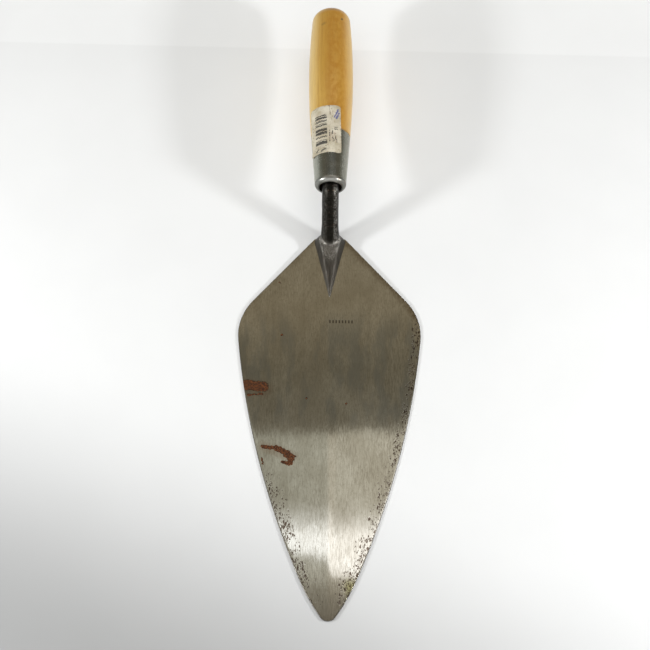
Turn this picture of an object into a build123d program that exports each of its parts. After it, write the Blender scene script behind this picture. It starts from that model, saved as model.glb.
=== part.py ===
from build123d import *
import os
from math import cos, radians, sin, sqrt, tan

# A brick trowel lying on its blade. The blade's flat underside is on Z = 0, the point faces -Y
# and the handle runs towards +Y. X = 0 is the plane of symmetry, and Y = 0 is half way along.
# Millimetres and degrees.

# Overall
BLADE_LENGTH = 279.4  # 11 inches
BLADE_WIDTH = 127.0  # 5 inches
NECK_GAP = 21.1  # from the blade's heel to the ferrule's mouth
GRIP_LENGTH = 153.5  # from the ferrule's mouth to the butt of the handle
AXIS_HEIGHT = 38.0  # the handle's axis, parallel to the blade

# Blade outline: each angle is between the edge and the Y axis
TIP_RADIUS = 5.8
NOSE_ANGLE = 34.6
NOSE_RADIUS = 146.0
SIDE_ANGLE = 22.9
SHOULDER_ANGLE = 6.1
SHOULDER_RADIUS = 40.4
BACK_ANGLE = 40.8

# Blade thickness: a low ridge along the middle, ground away towards the edges and the point
HEEL_THICKNESS = 2.6
TIP_THICKNESS = 1.5
RIDGE_SLOPE = 0.019

# Shank: a forged wedge on the blade, a round neck and a square tang
WEDGE_LENGTH = 48.8  # from its point to the blade's heel
WEDGE_SPREAD = 0.24  # half the base grows by this much for each millimetre from the point
WEDGE_SLOPE = 10.0
WEDGE_TOP_SHARE = 0.58  # width of the wedge's top as a share of its base
WEDGE_BACK_SLOPE = 64.0
WEDGE_BACK_INSET = 1.0  # inwards of the blade's back edges
WEDGE_TIP_SETBACK = 1.0  # the wedge's point is this blunt
HEEL_OVERHANG = 3.8  # the wedge reaches this far behind the blade
NECK_RADIUS = 5.95
FLARE_RADIUS = 6.7
FLARE_LENGTH = 14.0
NECK_RISE = 55.0
NECK_CORNER_SETBACK = 1.8  # from the neck's corner point to the ferrule's mouth
NECK_BEND_RADIUS = 9.0
NECK_FOOT_HEIGHT = 5.0
TANG_LENGTH = 92.0
TANG_WIDTH = 8.2
TANG_END_WIDTH = 4.0

# Ferrule: a drawn steel sleeve with its mouth turned in
FERRULE_LENGTH = 41.8
FERRULE_WALL = 1.0
FERRULE_FRONT_RADIUS = 10.9  # where its side line would meet the mouth if the mouth were square
FERRULE_REAR_RADIUS = 13.9
MOUTH_RADIUS = 8.05
MOUTH_ROUNDING = 2.9

# Handle: a turned barrel, seated in the ferrule
SEAT_SETBACK = 8.0  # from the ferrule's mouth to the front of the wood
GRIP_RADIUS = 16.1
GRIP_CREST = 94.8  # the thickest place, from the ferrule's mouth
BUTT_ROUNDING = 9.0
BUTT_CROWN = 1.5

# Label: a paper sticker, 1 by 1 1/2 inches, over the seam between the ferrule and the wood
LABEL_START = 21.7  # from the ferrule's mouth
LABEL_LENGTH = 38.1
LABEL_THICKNESS = 0.25
LABEL_FROM_TOP = 74.0  # on the left side, seen from above with the point towards you
LABEL_SPAN = 105.0

# Places along Y
TIP_Y = -(BLADE_LENGTH + NECK_GAP + GRIP_LENGTH) / 2
HEEL_Y = TIP_Y + BLADE_LENGTH
MOUTH_Y = HEEL_Y + NECK_GAP


def on_grip(setback, radius):
    """A point in the YZ plane's own axes, set back from the ferrule's mouth, off the grip's axis."""
    return (MOUTH_Y + setback, AXIS_HEIGHT + radius)


def turn(section, start=0, span=360):
    """Turn a section, drawn in the YZ plane, about the grip's axis."""
    axis = Axis((0, 0, AXIS_HEIGHT), (0, 1, 0))
    face = Plane.YZ * section
    return revolve(face.rotate(axis, start), axis=axis, revolution_arc=span)


def side_radius():
    """The radius of the long side, which brings the blade to its full width."""
    nose, side, shoulder = (cos(radians(a)) for a in (NOSE_ANGLE, SIDE_ANGLE, SHOULDER_ANGLE))
    reach = BLADE_WIDTH / 2 - TIP_RADIUS * nose
    reach -= NOSE_RADIUS * (side - nose) + SHOULDER_RADIUS * (1 - shoulder)
    return reach / (shoulder - side)


def blade_edges():
    """The right-hand edge from point to heel: four tangent arcs and a straight back edge."""
    tip = JernArc((0, TIP_Y), (1, 0), TIP_RADIUS, 90 - NOSE_ANGLE)
    nose = JernArc(tip @ 1, tip % 1, NOSE_RADIUS, NOSE_ANGLE - SIDE_ANGLE)
    side = JernArc(nose @ 1, nose % 1, side_radius(), SIDE_ANGLE - SHOULDER_ANGLE)
    shoulder = JernArc(side @ 1, side % 1, SHOULDER_RADIUS, SHOULDER_ANGLE + BACK_ANGLE)
    corner = shoulder @ 1
    heel_x = corner.X - (HEEL_Y - corner.Y) * tan(radians(BACK_ANGLE))
    return [tip, nose, side, shoulder, Line(corner, (heel_x, HEEL_Y))]


def heel_half_width():
    """Half the width of the blade where its straight back edges stop at the heel."""
    return (blade_edges()[-1] @ 1).X


def make_blade():
    """A flat plate whose top falls away from a ridge to both edges and to the point."""
    right = Curve() + blade_edges()
    heel = Line((heel_half_width(), HEEL_Y), (-heel_half_width(), HEEL_Y))
    blade = extrude(make_face(right + heel + mirror(right, Plane.YZ)), HEEL_THICKNESS)
    fall = (HEEL_THICKNESS - TIP_THICKNESS) / BLADE_LENGTH
    for side in (1, -1):
        top = Plane(origin=(0, HEEL_Y, HEEL_THICKNESS), z_dir=(side * RIDGE_SLOPE, -fall, 1))
        blade = split(blade, bisect_by=top, keep=Keep.BOTTOM)
    return blade


def wedge_section(setback):
    """Across the wedge, set back from its point: upright sides as deep as the blade, then flanks."""
    base = setback * WEDGE_SPREAD
    top = base * WEDGE_TOP_SHARE
    height = HEEL_THICKNESS + setback * tan(radians(WEDGE_SLOPE))
    right = [(base, 0), (base, HEEL_THICKNESS), (top, height)]
    left = [(-x, z) for x, z in reversed(right)]
    plane = Plane(origin=(0, HEEL_Y - WEDGE_LENGTH + setback, 0), x_dir=(1, 0, 0), z_dir=(0, -1, 0))
    return plane * make_face(Polyline(*right, *left, close=True))


def make_wedge():
    """The wedge, cut back behind by two slopes that follow the blade's back edges."""
    sections = [wedge_section(WEDGE_TIP_SETBACK), wedge_section(WEDGE_LENGTH + HEEL_OVERHANG)]
    wedge = loft(sections, ruled=True)
    for side in (1, -1):
        edge = Vector(side * heel_half_width(), HEEL_Y, HEEL_THICKNESS)
        outwards = Vector(side * cos(radians(BACK_ANGLE)), sin(radians(BACK_ANGLE)), 0)
        upwards = Vector(0, 0, 1 / tan(radians(WEDGE_BACK_SLOPE)))
        back = Plane(origin=edge - outwards * WEDGE_BACK_INSET, z_dir=outwards + upwards)
        wedge = split(wedge, bisect_by=back, keep=Keep.BOTTOM)
    return wedge


def make_neck():
    """A round bar that rises from the wedge and bends level into the ferrule."""
    corner_y = MOUTH_Y - NECK_CORNER_SETBACK
    foot_y = corner_y - (AXIS_HEIGHT - NECK_FOOT_HEIGHT) / tan(radians(NECK_RISE))
    path = FilletPolyline(
        (0, foot_y, NECK_FOOT_HEIGHT),
        (0, corner_y, AXIS_HEIGHT),
        (0, MOUTH_Y + SEAT_SETBACK, AXIS_HEIGHT),
        radius=NECK_BEND_RADIUS,
    )
    foot = Plane(origin=path @ 0, z_dir=path % 0)
    neck = sweep(foot * Circle(NECK_RADIUS), path=path)
    base = (Align.CENTER, Align.CENTER, Align.MIN)
    return neck + foot * Cone(FLARE_RADIUS, NECK_RADIUS, FLARE_LENGTH, align=base)


def make_tang():
    """A square taper inside the wood."""
    front = Plane(origin=(0, MOUTH_Y + SEAT_SETBACK, AXIS_HEIGHT), x_dir=(1, 0, 0), z_dir=(0, 1, 0))
    wide = front * Rectangle(TANG_WIDTH, TANG_WIDTH)
    narrow = front.offset(TANG_LENGTH) * Rectangle(TANG_END_WIDTH, TANG_END_WIDTH)
    return loft([wide, narrow], ruled=True)


def sleeve_radius(setback):
    """The ferrule's outer radius, which grows evenly from its mouth to the wood."""
    taper = (FERRULE_REAR_RADIUS - FERRULE_FRONT_RADIUS) / FERRULE_LENGTH
    return FERRULE_FRONT_RADIUS + taper * setback


def barrel_radius(setback):
    """The handle's radius: one long arc, level at the crest and flush with the ferrule's rear."""
    run = GRIP_CREST - FERRULE_LENGTH
    drop = GRIP_RADIUS - FERRULE_REAR_RADIUS
    arc = (run**2 + drop**2) / (2 * drop)
    return GRIP_RADIUS - arc + sqrt(arc**2 - (setback - GRIP_CREST) ** 2)


def barrel(start, end, outwards=0):
    """A stretch of the handle's side line, or of a line a little outwards of it."""
    places = (start, (start + end) / 2, end)
    return ThreePointArc(*(on_grip(place, barrel_radius(place) + outwards) for place in places))


def round_corner(section, corner, radius):
    """Round the corner of a profile that lies at the given point."""
    vertex = section.vertices().sort_by_distance(Vector(*corner))[0]
    return fillet(vertex, radius)


def make_ferrule():
    """A tapered sleeve with a rounded, turned-in mouth."""
    inner_corner = on_grip(FERRULE_WALL, sleeve_radius(FERRULE_WALL) - FERRULE_WALL)
    section = make_face(
        Polyline(
            on_grip(0, MOUTH_RADIUS),
            on_grip(0, FERRULE_FRONT_RADIUS),
            on_grip(FERRULE_LENGTH, FERRULE_REAR_RADIUS),
            on_grip(FERRULE_LENGTH, FERRULE_REAR_RADIUS - FERRULE_WALL),
            inner_corner,
            on_grip(FERRULE_WALL, MOUTH_RADIUS),
            close=True,
        )
    )
    section = round_corner(section, on_grip(0, FERRULE_FRONT_RADIUS), MOUTH_ROUNDING)
    section = round_corner(section, inner_corner, MOUTH_ROUNDING - FERRULE_WALL)
    return turn(section)


def make_handle(tang):
    """A turned barrel with a round butt, turned down in front to fit inside the ferrule."""
    butt_corner = GRIP_LENGTH - BUTT_CROWN
    side = barrel(FERRULE_LENGTH, butt_corner)
    front = Polyline(
        on_grip(GRIP_LENGTH, 0),
        on_grip(SEAT_SETBACK, 0),
        on_grip(SEAT_SETBACK, sleeve_radius(SEAT_SETBACK) - FERRULE_WALL),
        on_grip(FERRULE_LENGTH, FERRULE_REAR_RADIUS - FERRULE_WALL),
        side @ 0,
    )
    crown = TangentArc(on_grip(GRIP_LENGTH, 0), side @ 1, tangent=(0, 1))
    section = make_face(front + side + crown)
    return turn(round_corner(section, side @ 1, BUTT_ROUNDING)) - tang


def make_label():
    """A paper sticker, bent round the ferrule and the wood."""
    end = LABEL_START + LABEL_LENGTH
    start_radius = sleeve_radius(LABEL_START)
    under = barrel(FERRULE_LENGTH, end)
    over = barrel(FERRULE_LENGTH, end, LABEL_THICKNESS)
    front = Polyline(
        under @ 0,
        on_grip(LABEL_START, start_radius),
        on_grip(LABEL_START, start_radius + LABEL_THICKNESS),
        over @ 0,
    )
    section = make_face(front + over + Line(over @ 1, under @ 1) + under)
    return turn(section, -LABEL_FROM_TOP, LABEL_SPAN)


blade = make_blade()
tang = make_tang()
shank = make_wedge() + make_neck() + tang - blade
ferrule = make_ferrule()
handle = make_handle(tang)
label = make_label()

os.makedirs("parts", exist_ok=True)
for name, solid in (
    ("blade", blade),
    ("shank", shank),
    ("ferrule", ferrule),
    ("handle", handle),
    ("label", label),
):
    export_step(solid, f"parts/{name}.step")
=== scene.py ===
from math import atan, atan2, cos, degrees, hypot, pi, radians, sin, sqrt, tan

import bmesh
import bpy
from mathutils import Matrix, Vector, noise


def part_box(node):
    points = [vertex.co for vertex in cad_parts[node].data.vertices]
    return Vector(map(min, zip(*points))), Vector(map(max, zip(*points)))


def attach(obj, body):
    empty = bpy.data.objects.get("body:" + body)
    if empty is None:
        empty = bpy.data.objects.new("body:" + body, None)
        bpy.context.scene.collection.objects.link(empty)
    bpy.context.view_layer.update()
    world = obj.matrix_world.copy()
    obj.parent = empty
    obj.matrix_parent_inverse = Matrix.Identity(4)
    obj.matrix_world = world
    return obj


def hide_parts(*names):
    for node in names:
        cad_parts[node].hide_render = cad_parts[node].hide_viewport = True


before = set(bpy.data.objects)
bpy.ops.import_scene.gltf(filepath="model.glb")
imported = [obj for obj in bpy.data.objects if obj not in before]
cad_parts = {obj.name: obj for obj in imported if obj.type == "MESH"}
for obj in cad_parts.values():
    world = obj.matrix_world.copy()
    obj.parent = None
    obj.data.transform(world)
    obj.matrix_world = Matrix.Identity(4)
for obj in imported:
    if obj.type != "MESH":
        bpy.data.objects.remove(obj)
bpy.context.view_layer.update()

MM = 0.001

# Places along the tool, in millimetres, from the frame. The point faces -Y.
blade_low, blade_high = (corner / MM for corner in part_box("blade"))
ferrule_low, ferrule_high = (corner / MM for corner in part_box("ferrule"))
handle_low, handle_high = (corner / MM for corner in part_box("handle"))
label_low, label_high = (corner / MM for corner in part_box("label"))
shank_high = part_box("shank")[1] / MM

TIP_Y, HEEL_Y = blade_low.y, blade_high.y
MOUTH_Y, SEAM_Y = ferrule_low.y, ferrule_high.y
SEAT_Y, BUTT_Y = handle_low.y, handle_high.y
AXIS_Z = (handle_low.z + handle_high.z) / 2
GRIP_RADIUS = handle_high.x
SEAM_RADIUS = ferrule_high.x
HALF_WIDTH = blade_high.x
HEEL_THICKNESS = blade_high.z

# Blade outline, as angles from the Y axis and radii of the tangent arcs between them
TIP_RADIUS = 5.8
NOSE_ANGLE = 34.6
NOSE_RADIUS = 146.0
SIDE_ANGLE = 22.9
SHOULDER_ANGLE = 6.1
SHOULDER_RADIUS = 40.4
BACK_ANGLE = 40.8
TIP_THICKNESS = 1.5
RIDGE_SLOPE = 0.019
HOLLOW_DEPTH = 0.085
HOLLOW_MIDDLE, HOLLOW_REACH = 118.0, 105.0

# Shank
WEDGE_LENGTH = 48.8
WEDGE_SPREAD = 0.24
WEDGE_SLOPE = 10.0
WEDGE_BACK_SLOPE = 62.0
WEDGE_HALF_WIDTH = 11.7
FLANK_STEEPNESS = 1.75
CROWN_FALL = 0.035
HEEL_OVERHANG = 3.8
NECK_RADIUS = 5.95
FLARE_RADIUS = 6.6
NECK_RISE = 55.0
NECK_CORNER_SETBACK = 1.8
NECK_BEND_RADIUS = 9.0
TANG_WIDTH = 8.2
TANG_END_WIDTH = 4.0
MELT_SIZE = 0.55

# Ferrule
WALL = 1.0
FERRULE_FRONT_RADIUS = 10.9
MOUTH_RADIUS = 8.05
MOUTH_ROUNDING = 2.9

# Handle
GRIP_CREST_Y = MOUTH_Y + 94.8
BUTT_ROUNDING = 9.0
BUTT_CROWN = 1.5

# Label
LABEL_WIDTH = 25.4
LABEL_TURN = 21.5
LABEL_THICKNESS = 0.13
LABEL_CORNER = 2.2
LABEL_FLAP = 7.0

# The row of punched ticks, its middle and half its length
MARK_X, MARK_Y = 8.0, -14.0
MARK_HALF = 8.8

# Where the floor is painted brighter, behind the heel of the blade, standing in for a fold in the paper
FOLD_Y = 224.0

# Lamps, in metres and watts
SIDE_LAMP, SIDE_AIM = (0.763, -0.238, 0.372), (0.0, 0.06, 0.02)
FRONT_LAMP, FRONT_AIM = (0.0, -0.90, 0.75), (0.0, 0.06, 0.03)
TOP_LAMP, TOP_AIM = (0.0, 0.13, 0.9), (0.0, 0.13, 0.0)
SIDE_POWER, FRONT_POWER, TOP_POWER = 4.6, 1.0, 5.0

# Camera: its place in millimetres, with the setback measured from the blade's point
CAMERA_X, CAMERA_SETBACK, CAMERA_HEIGHT = -3.1, 266.8, 924.2
CAMERA_DOWN, CAMERA_ROLL = 62.64, 0.42
SENSOR_WIDTH, LENS = 36.0, 82.53


# ---------------- meshes


def piece_from(name, vertices, faces, uvs=None):
    """A mesh object from points in millimetres. uvs gives one pair for each vertex."""
    mesh = bpy.data.meshes.new(name)
    mesh.from_pydata([Vector(v) * MM for v in vertices], [], faces)
    mesh.validate()
    if uvs:
        layer = mesh.uv_layers.new(name="layout")
        for loop in mesh.loops:
            layer.data[loop.index].uv = uvs[loop.vertex_index]
    mesh.shade_smooth()
    piece = bpy.data.objects.new(name, mesh)
    bpy.context.scene.collection.objects.link(piece)
    return piece


def place(piece, node, slot, material):
    """Give a piece its body and its material, and hide the CAD node it stands for. The slot is not used."""
    piece.data.materials.clear()
    piece.data.materials.append(material)
    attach(piece, "root")
    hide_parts(node)


def wobble(x, y, z, size):
    """Smooth noise between about -1 and 1, with lumps of about the given size."""
    return noise.noise(Vector((x, y, z)) / size)


def smooth_step(low, high, value):
    share = min(max((value - low) / (high - low), 0.0), 1.0)
    return share * share * (3 - 2 * share)


# Blade


def side_radius():
    """The radius of the long side, which brings the blade to its full width."""
    nose, side, shoulder = (cos(radians(a)) for a in (NOSE_ANGLE, SIDE_ANGLE, SHOULDER_ANGLE))
    reach = HALF_WIDTH - TIP_RADIUS * nose
    reach -= NOSE_RADIUS * (side - nose) + SHOULDER_RADIUS * (1 - shoulder)
    return reach / (shoulder - side)


SIDE_RADIUS = side_radius()
EDGE_ARCS = (
    (TIP_RADIUS, 90.0, NOSE_ANGLE),
    (NOSE_RADIUS, NOSE_ANGLE, SIDE_ANGLE),
    (SIDE_RADIUS, SIDE_ANGLE, SHOULDER_ANGLE),
    (SHOULDER_RADIUS, SHOULDER_ANGLE, -BACK_ANGLE),
)


def along_arc(x, y, radius, start, angle):
    """The point of an edge arc at an angle, where the arc starts at (x, y)."""
    first, last = radians(start), radians(angle)
    return x + radius * (cos(last) - cos(first)), y + radius * (sin(first) - sin(last))


def blade_outline(step=2.0):
    """Points (half width, y) up the right-hand edge, from the point to the heel."""
    x, y = 0.0, TIP_Y
    points = [(x, y)]
    for radius, start, end in EDGE_ARCS:
        count = max(8, round(radius * radians(start - end) / step))
        for i in range(1, count + 1):
            points.append(along_arc(x, y, radius, start, start + (end - start) * i / count))
        x, y = points[-1]
    count = round((HEEL_Y - y) / step)
    slope = tan(radians(BACK_ANGLE))
    for i in range(1, count + 1):
        rise = (HEEL_Y - y) * i / count
        points.append((x - rise * slope, y + rise))
    return points


OUTLINE = blade_outline()
HEEL_HALF = OUTLINE[-1][0]
# square to the straight back edge, on the right-hand side
BACK_NORMAL = Vector((cos(radians(BACK_ANGLE)), sin(radians(BACK_ANGLE))))


def blade_top(x, y):
    """Height of the blade's top, ridged and slightly uneven from grinding."""
    share = (y - TIP_Y) / (HEEL_Y - TIP_Y)
    ridge = TIP_THICKNESS + (HEEL_THICKNESS - TIP_THICKNESS) * share
    waves = 0.007 * wobble(x, y * 0.6, 0, 26) + 0.002 * wobble(x, y, 9, 9)
    # the right-hand half is ground very slightly hollow along its length
    turn = min(max((y - TIP_Y - HOLLOW_MIDDLE) / HOLLOW_REACH, -1.0), 1.0)
    hollow = HOLLOW_DEPTH * (1 + cos(pi * turn)) * smooth_step(0, 4, x)
    across = sqrt(x * x + 1.0) - 1.0
    return ridge - 0.01 - RIDGE_SLOPE * across + waves - hollow


def make_blade():
    # how far each line of points lies in from the edge, and how far below the top
    bevel = ((0.0, 0.30), (0.07, 0.17), (0.20, 0.06), (0.40, 0.01), (0.8, 0.0))
    columns = 26
    vertices, faces, uvs, rows = [], [], [], []
    for half, y in OUTLINE[1:]:
        narrowing = min(1.0, half / 5.0)
        right = [(half - inset * narrowing, drop) for inset, drop in bevel]
        core = right[-1][0]
        right += [(core * (1 - i / columns), 0.0) for i in range(1, columns)]
        row = []
        for x, drop in [(-x, drop) for x, drop in right] + [(0.0, 0.0)] + right[::-1]:
            row.append(len(vertices))
            vertices.append((x, y, blade_top(x, y) - drop))
            uvs.append((x / 100, y / 100))
        rows.append(row)
    tip_top = len(vertices)
    vertices.append((0.0, TIP_Y, blade_top(0, TIP_Y) - 0.5))
    uvs.append((0, TIP_Y / 100))
    for near, far in zip(rows, rows[1:]):
        for i in range(len(near) - 1):
            faces.append((near[i], near[i + 1], far[i + 1], far[i]))
    for i in range(len(rows[0]) - 1):
        faces.append((tip_top, rows[0][i + 1], rows[0][i]))
    # the underside, flat, with its edge slightly rounded
    ring = [tip_top] + [row[-1] for row in rows] + [row[0] for row in reversed(rows)]
    lower = []
    for inset, height in ((0.0, 0.22), (0.12, 0.06), (0.4, 0.0)):
        loop = []
        for index in ring:
            x, y, _ = vertices[index]
            pull = Vector((-x, -(y - (TIP_Y + 190)), 0)).normalized() * inset
            loop.append(len(vertices))
            vertices.append((x + pull.x, y + pull.y, height))
            uvs.append((x / 100, y / 100))
        lower.append(loop)
    for upper, below in zip([ring] + lower, lower):
        for i in range(len(ring)):
            j = (i + 1) % len(ring)
            faces.append((upper[i], upper[j], below[j], below[i]))
    last = lower[-1]
    right_side, left_side = last[1 : len(rows) + 1], last[len(rows) + 1 :][::-1]
    faces.append((last[0], right_side[0], left_side[0]))
    for i in range(len(rows) - 1):
        faces.append((right_side[i], right_side[i + 1], left_side[i + 1], left_side[i]))
    piece = piece_from("blade_ground", vertices, faces, uvs)
    fix_normals(piece)
    return piece


def fix_normals(piece):
    mesh = bmesh.new()
    mesh.from_mesh(piece.data)
    bmesh.ops.recalc_face_normals(mesh, faces=mesh.faces)
    mesh.to_mesh(piece.data)
    mesh.free()


# Grip


def sleeve_radius(y):
    """The ferrule's outer radius."""
    share = (y - MOUTH_Y) / (SEAM_Y - MOUTH_Y)
    return FERRULE_FRONT_RADIUS + (SEAM_RADIUS - FERRULE_FRONT_RADIUS) * share


def arc_radius(run, drop):
    """Radius of the arc that falls by drop over a run from its level crest."""
    return (run**2 + drop**2) / (2 * drop)


BARREL_ARC = arc_radius(GRIP_CREST_Y - SEAM_Y, GRIP_RADIUS - SEAM_RADIUS)


def barrel_radius(y):
    """The handle's radius behind the ferrule: one long arc, level at its crest."""
    return GRIP_RADIUS - BARREL_ARC + sqrt(BARREL_ARC**2 - (y - GRIP_CREST_Y) ** 2)


def grip_radius(y):
    return sleeve_radius(y) if y < SEAM_Y else barrel_radius(y)


def revolve(name, profile, uneven, closed=False, segments=160):
    """Turn a profile of (y, radius) about the grip's axis. A radius of 0 closes the end.

    uneven takes an angle and a y, and gives what is added to the radius there.
    """
    vertices, faces, uvs, loops = [], [], [], []
    for y, radius in profile:
        if radius == 0:
            loops.append([len(vertices)])
            vertices.append((0, y, AXIS_Z))
            uvs.append((0.5, y / 100))
            continue
        loop = []
        for i in range(segments):
            angle = 2 * pi * i / segments
            r = radius + uneven(angle, y)
            loop.append(len(vertices))
            vertices.append((r * sin(angle), y, AXIS_Z + r * cos(angle)))
            uvs.append((i / segments, y / 100))
        loops.append(loop)
    pairs = list(zip(loops, loops[1:]))
    if closed:
        pairs.append((loops[-1], loops[0]))
    for a, b in pairs:
        for i in range(segments):
            j = (i + 1) % segments
            if len(a) == 1:
                faces.append((a[0], b[i], b[j]))
            elif len(b) == 1:
                faces.append((a[i], b[0], a[j]))
            else:
                faces.append((a[i], b[i], b[j], a[j]))
    return piece_from(name, vertices, faces, uvs)


def arc_points(centre, radius, start, end, count):
    """Points (y, radius) along an arc. Angles run from the +Y axis towards larger radii."""
    angles = [radians(start + (end - start) * i / count) for i in range(count + 1)]
    return [(centre[0] + radius * cos(a), centre[1] + radius * sin(a)) for a in angles]


def make_ferrule():
    taper = degrees(atan((SEAM_RADIUS - FERRULE_FRONT_RADIUS) / (SEAM_Y - MOUTH_Y)))
    rounding_y = MOUTH_Y + MOUTH_ROUNDING
    centre = (rounding_y, sleeve_radius(rounding_y) - MOUTH_ROUNDING * 1.005)
    sides = [(MOUTH_Y + 4 + (SEAM_Y - 0.5 - MOUTH_Y - 4) * i / 24) for i in range(25)]
    profile = arc_points(centre, MOUTH_ROUNDING, 186, 90 + taper, 18)
    profile += [(y, sleeve_radius(y)) for y in sides]
    # the rear edge, the bore and the inside of the turned-in mouth
    rear = ((0.2, 0.05), (0.02, 0.25), (0.0, WALL))
    profile += [(SEAM_Y - back, SEAM_RADIUS - drop) for back, drop in rear]
    profile += [(y, sleeve_radius(y) - WALL) for y in reversed(sides[::4])]
    profile += arc_points(centre, MOUTH_ROUNDING - WALL, 90 + taper, 180, 8)
    lip = ((WALL * 1.1, 0.05), (0.55, -0.02), (0.1, 0.1))
    profile += [(MOUTH_Y + back, MOUTH_RADIUS + rise) for back, rise in lip]

    def dents(angle, y):
        return 0.03 * wobble(14 * cos(angle), y, 14 * sin(angle), 11)

    return revolve("ferrule_sleeve", profile, dents, closed=True)


def make_handle():
    crown = arc_radius(barrel_radius(BUTT_Y - BUTT_CROWN), BUTT_CROWN)
    crown_y = BUTT_Y - crown
    # the rounding's centre is a fixed distance inside both arcs
    centre = round_between(crown)
    start = degrees(atan2(centre[1] - (GRIP_RADIUS - BARREL_ARC), centre[0] - GRIP_CREST_Y))
    end = degrees(atan2(centre[1], centre[0] - crown_y))
    butt = arc_points(centre, BUTT_ROUNDING, start, end, 20)
    barrel_start, barrel_end = SEAM_Y + 0.35, butt[0][0]
    barrel = [(barrel_start + (barrel_end - barrel_start) * i / 70) for i in range(70)]
    # the spigot inside the ferrule, then the small shoulder behind it
    bore = sleeve_radius(SEAT_Y) - WALL
    profile = [(SEAT_Y, 0), (SEAT_Y, 4.0), (SEAT_Y, bore - 0.5), (SEAT_Y + 0.4, bore - 0.02)]
    profile.append((SEAM_Y - 1, sleeve_radius(SEAM_Y - 1) - WALL - 0.02))
    shoulder = ((0.02, WALL + 0.05), (0.02, 0.25), (0.15, 0.04))
    profile += [(SEAM_Y + back, SEAM_RADIUS - drop) for back, drop in shoulder]
    profile += [(y, barrel_radius(y)) for y in barrel] + butt
    edge_angle = atan2(butt[-1][1], butt[-1][0] - crown_y)
    for i in range(1, 7):
        a = edge_angle * (1 - i / 7)
        profile.append((crown_y + crown * cos(a), crown * sin(a)))
    profile.append((BUTT_Y, 0))

    def turned(angle, y):
        return 0.02 * wobble(16 * cos(angle), y * 0.3, 16 * sin(angle), 10)

    return revolve("handle_turned", profile, turned)


def round_between(crown):
    """Centre (y, radius) of the butt's rounding, tangent inside the barrel's arc and the crown's."""
    barrel_centre = Vector((GRIP_CREST_Y, GRIP_RADIUS - BARREL_ARC))
    crown_centre = Vector((BUTT_Y - crown, 0.0))
    barrel_reach, crown_reach = BARREL_ARC - BUTT_ROUNDING, crown - BUTT_ROUNDING
    gap = (crown_centre - barrel_centre).length
    along = (barrel_reach**2 - crown_reach**2 + gap**2) / (2 * gap)
    off = sqrt(max(barrel_reach**2 - along**2, 0.0))
    direction = (crown_centre - barrel_centre) / gap
    base = barrel_centre + direction * along
    normal = Vector((-direction.y, direction.x))
    return max((base + normal * off, base - normal * off), key=lambda p: p.y)


# Shank


def neck_path():
    """Centre line of the round neck, from inside the wedge to the front of the wood."""
    rise = radians(NECK_RISE)
    corner = Vector((MOUTH_Y - NECK_CORNER_SETBACK, AXIS_Z))
    reach = NECK_BEND_RADIUS * tan(rise / 2)
    start = corner - Vector((cos(rise), sin(rise))) * ((AXIS_Z - 4.0) / sin(rise))
    bend_start = corner - Vector((cos(rise), sin(rise))) * reach
    points = [start.lerp(bend_start, i / 16) for i in range(17)]
    centre = Vector((corner.x + reach, AXIS_Z - NECK_BEND_RADIUS))
    for i in range(1, 11):
        angle = rise * (1 - i / 10)
        points.append(centre + NECK_BEND_RADIUS * Vector((-sin(angle), cos(angle))))
    points += [Vector((y, AXIS_Z)) for y in (centre.x + 2, SEAT_Y - 0.1)]
    return points


def tube(points, radius_at, segments=40):
    """A closed tube along points in the YZ plane. radius_at takes the distance along it."""
    vertices, faces = [], []
    along = 0.0
    for i, point in enumerate(points):
        before, after = points[max(i - 1, 0)], points[min(i + 1, len(points) - 1)]
        if i:
            along += (point - points[i - 1]).length
        direction = (after - before).normalized()
        up = Vector((-direction.y, direction.x))
        r = radius_at(along)
        for k in range(segments):
            a = 2 * pi * k / segments
            vertices.append((r * sin(a), point.x + up.x * r * cos(a), point.y + up.y * r * cos(a)))
    for i in range(len(points) - 1):
        for k in range(segments):
            m = (k + 1) % segments
            a, b = i * segments, (i + 1) * segments
            faces.append((a + k, a + m, b + m, b + k))
    faces.append(tuple(range(segments)))
    faces.append(tuple(range((len(points) - 1) * segments, len(points) * segments)))
    return vertices, faces


def soft_min(values, blend):
    """The least of several heights, rounded where two are close."""
    low = min(values)
    return low - blend * sum(2.0 ** (-(v - low) / (blend * 0.35)) for v in values if v > low) * 0.35


def wedge_height(x, y):
    """Height of the forged wedge above the blade's underside, or less than 0 outside it."""
    setback = y - (HEEL_Y - WEDGE_LENGTH)
    ridge = HEEL_THICKNESS + setback * tan(radians(WEDGE_SLOPE))
    crown = ridge - CROWN_FALL * x * x
    flank = HEEL_THICKNESS - 0.3 + (setback * WEDGE_SPREAD - abs(x)) * FLANK_STEEPNESS
    # the back of the wedge starts 1 mm in from the blade's back edges
    level = BACK_NORMAL
    inside = level.x * (HEEL_HALF - level.x - abs(x)) + level.y * (HEEL_Y - level.y - y)
    back = HEEL_THICKNESS + inside * tan(radians(WEDGE_BACK_SLOPE))
    return soft_min((crown, flank, back), 0.5)


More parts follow.
